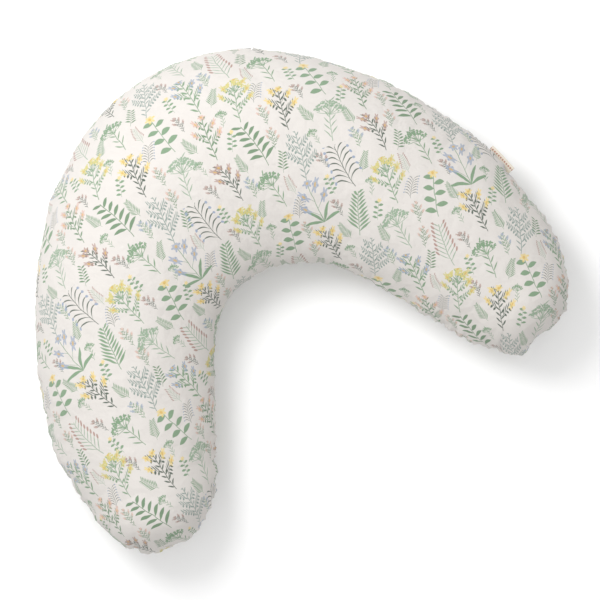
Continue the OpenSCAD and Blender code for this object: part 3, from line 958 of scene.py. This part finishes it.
def arc_point(centre, radius, degrees, dz):
    """A point round a centre, its angle counted from +Y towards +X, at a height from the seam."""
    a = np.radians(degrees)
    return np.stack(
        [centre[0] + radius * np.sin(a), centre[1] + radius * np.cos(a), SEAM_Z + dz + 0 * a], -1)


def tube(points, radius, sides, tapered=False):
    """Vertices and faces of a capped round wire along points; tapered narrows its two ends."""
    p = np.asarray(points)
    t = np.gradient(p, axis=0)
    t /= np.linalg.norm(t, axis=1, keepdims=True)
    a = np.cross(t, (0.31, 0.17, 0.93))
    a /= np.linalg.norm(a, axis=1, keepdims=True)
    b = np.cross(t, a)
    around = np.linspace(0, 2 * np.pi, sides, endpoint=False)
    r = np.full(len(p), radius)
    if tapered:
        r[[0, -1]] *= 0.45
    ring = np.cos(around)[None, :, None] * a[:, None] + np.sin(around)[None, :, None] * b[:, None]
    verts = (p[:, None] + ring * r[:, None, None]).reshape(-1, 3)
    i = np.arange(len(p) * sides).reshape(-1, sides)
    j = np.roll(i, -1, axis=1)
    faces = np.stack([i[:-1], j[:-1], j[1:], i[1:]], -1).reshape(-1, 4).tolist()
    return verts, faces + [i[0][::-1].tolist(), i[-1].tolist()]


def joined(name, parts):
    """One smooth object from several lots of vertices, in mm, and faces."""
    verts, faces, start = [], [], 0
    for v, f in parts:
        verts.append(v)
        faces += [[i + start for i in face] for face in f]
        start += len(v)
    mesh = bpy.data.meshes.new(name)
    mesh.from_pydata((np.vstack(verts) * MM).tolist(), [], faces)
    mesh.shade_smooth()
    rework(mesh, orient)
    obj = linked(name, mesh)
    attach(obj, "pillow")
    return obj


def coil(name, node, side):
    """The zip's coil: one strand wound along the edge of its tape."""
    turns = int(math.radians(2 * COIL_HALF_ANGLE) * COIL_R / COIL_PITCH)
    per_turn, sides = ((11, 6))
    t = np.linspace(0, turns, turns * per_turn + 1)
    wind = 2 * np.pi * (t + (0.5 if side < 0 else 0))
    angle = -COIL_HALF_ANGLE + 2 * COIL_HALF_ANGLE * t / turns
    dz = side * (COIL_OFF_SEAM + LOOP_HIGH * np.cos(wind))
    strand = arc_point(ZIP_C, COIL_R + LOOP_DEEP * np.sin(wind), angle, dz)
    obj = joined(name, [tube(strand, WIRE_R, sides)])
    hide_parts(node)


def topstitch(name, cover, side):
    """A row of stitches that holds the folded edge of the cover down beside the zip."""
    tree = BVHTree.FromObject(cover, bpy.context.evaluated_depsgraph_get())
    stitches = []
    pitch = math.degrees((STITCH_L + STITCH_GAP) / BACK_R)
    for angle in np.arange(-BACK_HALF + 3, BACK_HALF - 3, pitch):
        path = []
        for share_along, lift in STITCH_LINE:
            a = angle + share_along * math.degrees(STITCH_L / BACK_R)
            outside = arc_point(ZIP_C, BACK_R + 75, np.array(a), side * (SLIT_HALF + STITCH_OFF_SLIT))
            inward = np.array([-math.sin(math.radians(a)), -math.cos(math.radians(a)), 0])
            hit = tree.ray_cast(Vector(outside) * MM, Vector(inward))[0]
            if hit is not None:
                path.append(np.array(hit) / MM - inward * lift)
        if len(path) == len(STITCH_LINE):
            stitches.append(tube(path, STITCH_R, 6, tapered=True))
    dress(thread, joined(name, stitches).name)


def ribbon_label(name):
    """A blank ribbon folded in half, its fold outwards and its two ends sewn into the seam."""
    layer = [(SIDE_R - LABEL_IN + (LABEL_IN + LABEL_OUT - FOLD_R) * f,
              LABEL_GAP + LABEL_SWELL * math.sin(math.pi * f)) for f in np.linspace(0, 1, 9)]
    fold = [(SIDE_R + LABEL_OUT - FOLD_R + FOLD_R * math.cos(a), LABEL_GAP * math.sin(a))
            for a in np.radians(np.linspace(80, -80, 9))]
    line = np.array(layer + fold + [(out, -up) for out, up in layer[::-1]])
    across = np.gradient(line, axis=0)
    across /= np.linalg.norm(across, axis=1, keepdims=True)
    normal = np.stack([-across[:, 1], across[:, 0]], 1)
    verts = []
    for side in (0.5, -0.5):
        edge = line + normal * LABEL_T * side
        lifted = np.clip((edge[:, 0] - SIDE_R) / LABEL_OUT, 0, 1) ** 2
        for q in np.linspace(-0.5, 0.5, LABEL_COLS):
            a = np.radians(LABEL_ANGLE) + q * LABEL_L / SIDE_R
            verts.append(np.stack([
                SIDE_ROOT[0] + edge[:, 0] * math.cos(a), SIDE_ROOT[1] + edge[:, 0] * math.sin(a),
                SEAM_Z + edge[:, 1] + LABEL_WAVE * math.sin(q * 7) * lifted], 1))
    a = np.arange(LABEL_COLS * len(line)).reshape(LABEL_COLS, -1)
    b = a + a.size
    faces = quads(a).tolist() + quads(b)[:, [0, 3, 2, 1]].tolist()
    for p, q in ((a[0], b[0]), (a[-1], b[-1]), (a[:, 0], b[:, 0]), (a[:, -1], b[:, -1])):
        faces += np.stack([p[:-1], p[1:], q[1:], q[:-1]], -1).tolist()
    obj = joined(name, [(np.vstack(verts), faces)])
    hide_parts("brand_label")


# ---------------------------------------------------------------------------
# The pillow
# ---------------------------------------------------------------------------
cover_top = panel("cover_top", "cover_top_panel", True)
cover_bottom = panel("cover_bottom", "cover_bottom_panel", False)
thread = thread_material()
coil("coil_upper", "zip_coil_upper", 1)
coil("coil_lower", "zip_coil_lower", -1)
topstitch("topstitch_upper", cover_top, 1)
topstitch("topstitch_lower", cover_bottom, -1)
ribbon_label("ribbon_label")
dress(meadow_cloth("meadow_cotton"), "cover_top", "cover_bottom")
dress(coil_material(), "coil_upper", "coil_lower")
dress(tape_material(), "zip_tape_upper", "zip_tape_lower")
dress(metal_material(), "zip_slider", "zip_pull_tab", "zip_top_stops", "zip_bottom_stop")
dress(ribbon_material(), "ribbon_label")
dress(plain_cotton("care_label_satin", (0.7, 0.7, 0.7), (0.82, 0.82, 0.8), 0.3), "care_label")
dress(plain_cotton("inner_case_cotton", (0.62, 0.61, 0.58), (0.76, 0.75, 0.72)),
      "inner_case_top", "inner_case_bottom")
dress(fibre_material(), "filling")

# ---------------------------------------------------------------------------
# Camera, light and floor
# ---------------------------------------------------------------------------
ROLL = -29.7
AIM = Vector((0.0247, -0.0759, 0.0))
CAMERA_HEIGHT, VIEW_WIDTH = 2.6, 0.78  # metres; the width is that seen at the seam's height
SENSOR = 36
SKY_TOP, SKY_HORIZON = 0.95, 0.24
KEY_PLACE, KEY_SIZE, KEY_POWER = Vector((-0.24288, 0.88734, 1.45)), 0.85, 18
KEY_AIM = Vector((0, 0, 0.05))
FLOOR_HALF = 6

camera = bpy.data.cameras.new("camera")
camera.sensor_width = SENSOR
camera.lens = SENSOR * (CAMERA_HEIGHT - SEAM_Z * MM) / VIEW_WIDTH
cam = linked("camera", camera)
cam.location = AIM + Vector((0, 0, CAMERA_HEIGHT))
cam.rotation_euler = (0, 0, math.radians(ROLL))
bpy.context.scene.camera = cam

world = bpy.data.worlds.new("studio")
world.use_nodes = True
sky = world.node_tree
direction = sky.nodes.new("ShaderNodeTexCoord")
_, _, upwards = apart(sky, direction.outputs["Generated"])
background = sky.nodes["Background"]
background.inputs["Color"].default_value = (1, 1, 1, 1)
sky.links.new((upwards.most(0) * SKY_TOP + SKY_HORIZON).socket, background.inputs["Strength"])
bpy.context.scene.world = world
bpy.context.scene.view_settings.view_transform = "Standard"

lamp = bpy.data.lights.new("key", "AREA")
lamp.shape = "DISK"
lamp.size = KEY_SIZE
lamp.energy = KEY_POWER
key = linked("key", lamp)
key.location = KEY_PLACE
key.rotation_euler = (KEY_AIM - KEY_PLACE).to_track_quat("-Z", "Y").to_euler()

corners = [(x * FLOOR_HALF, y * FLOOR_HALF, 0) for x, y in ((-1, -1), (1, -1), (1, 1), (-1, 1))]
floor_mesh = bpy.data.meshes.new("floor")
floor_mesh.from_pydata(corners, [], [(0, 1, 2, 3)])
floor = linked("floor", floor_mesh)
floor_mesh.materials.append(fresh("floor_paint", (0.95, 0.95, 0.95), 0.9)[0])
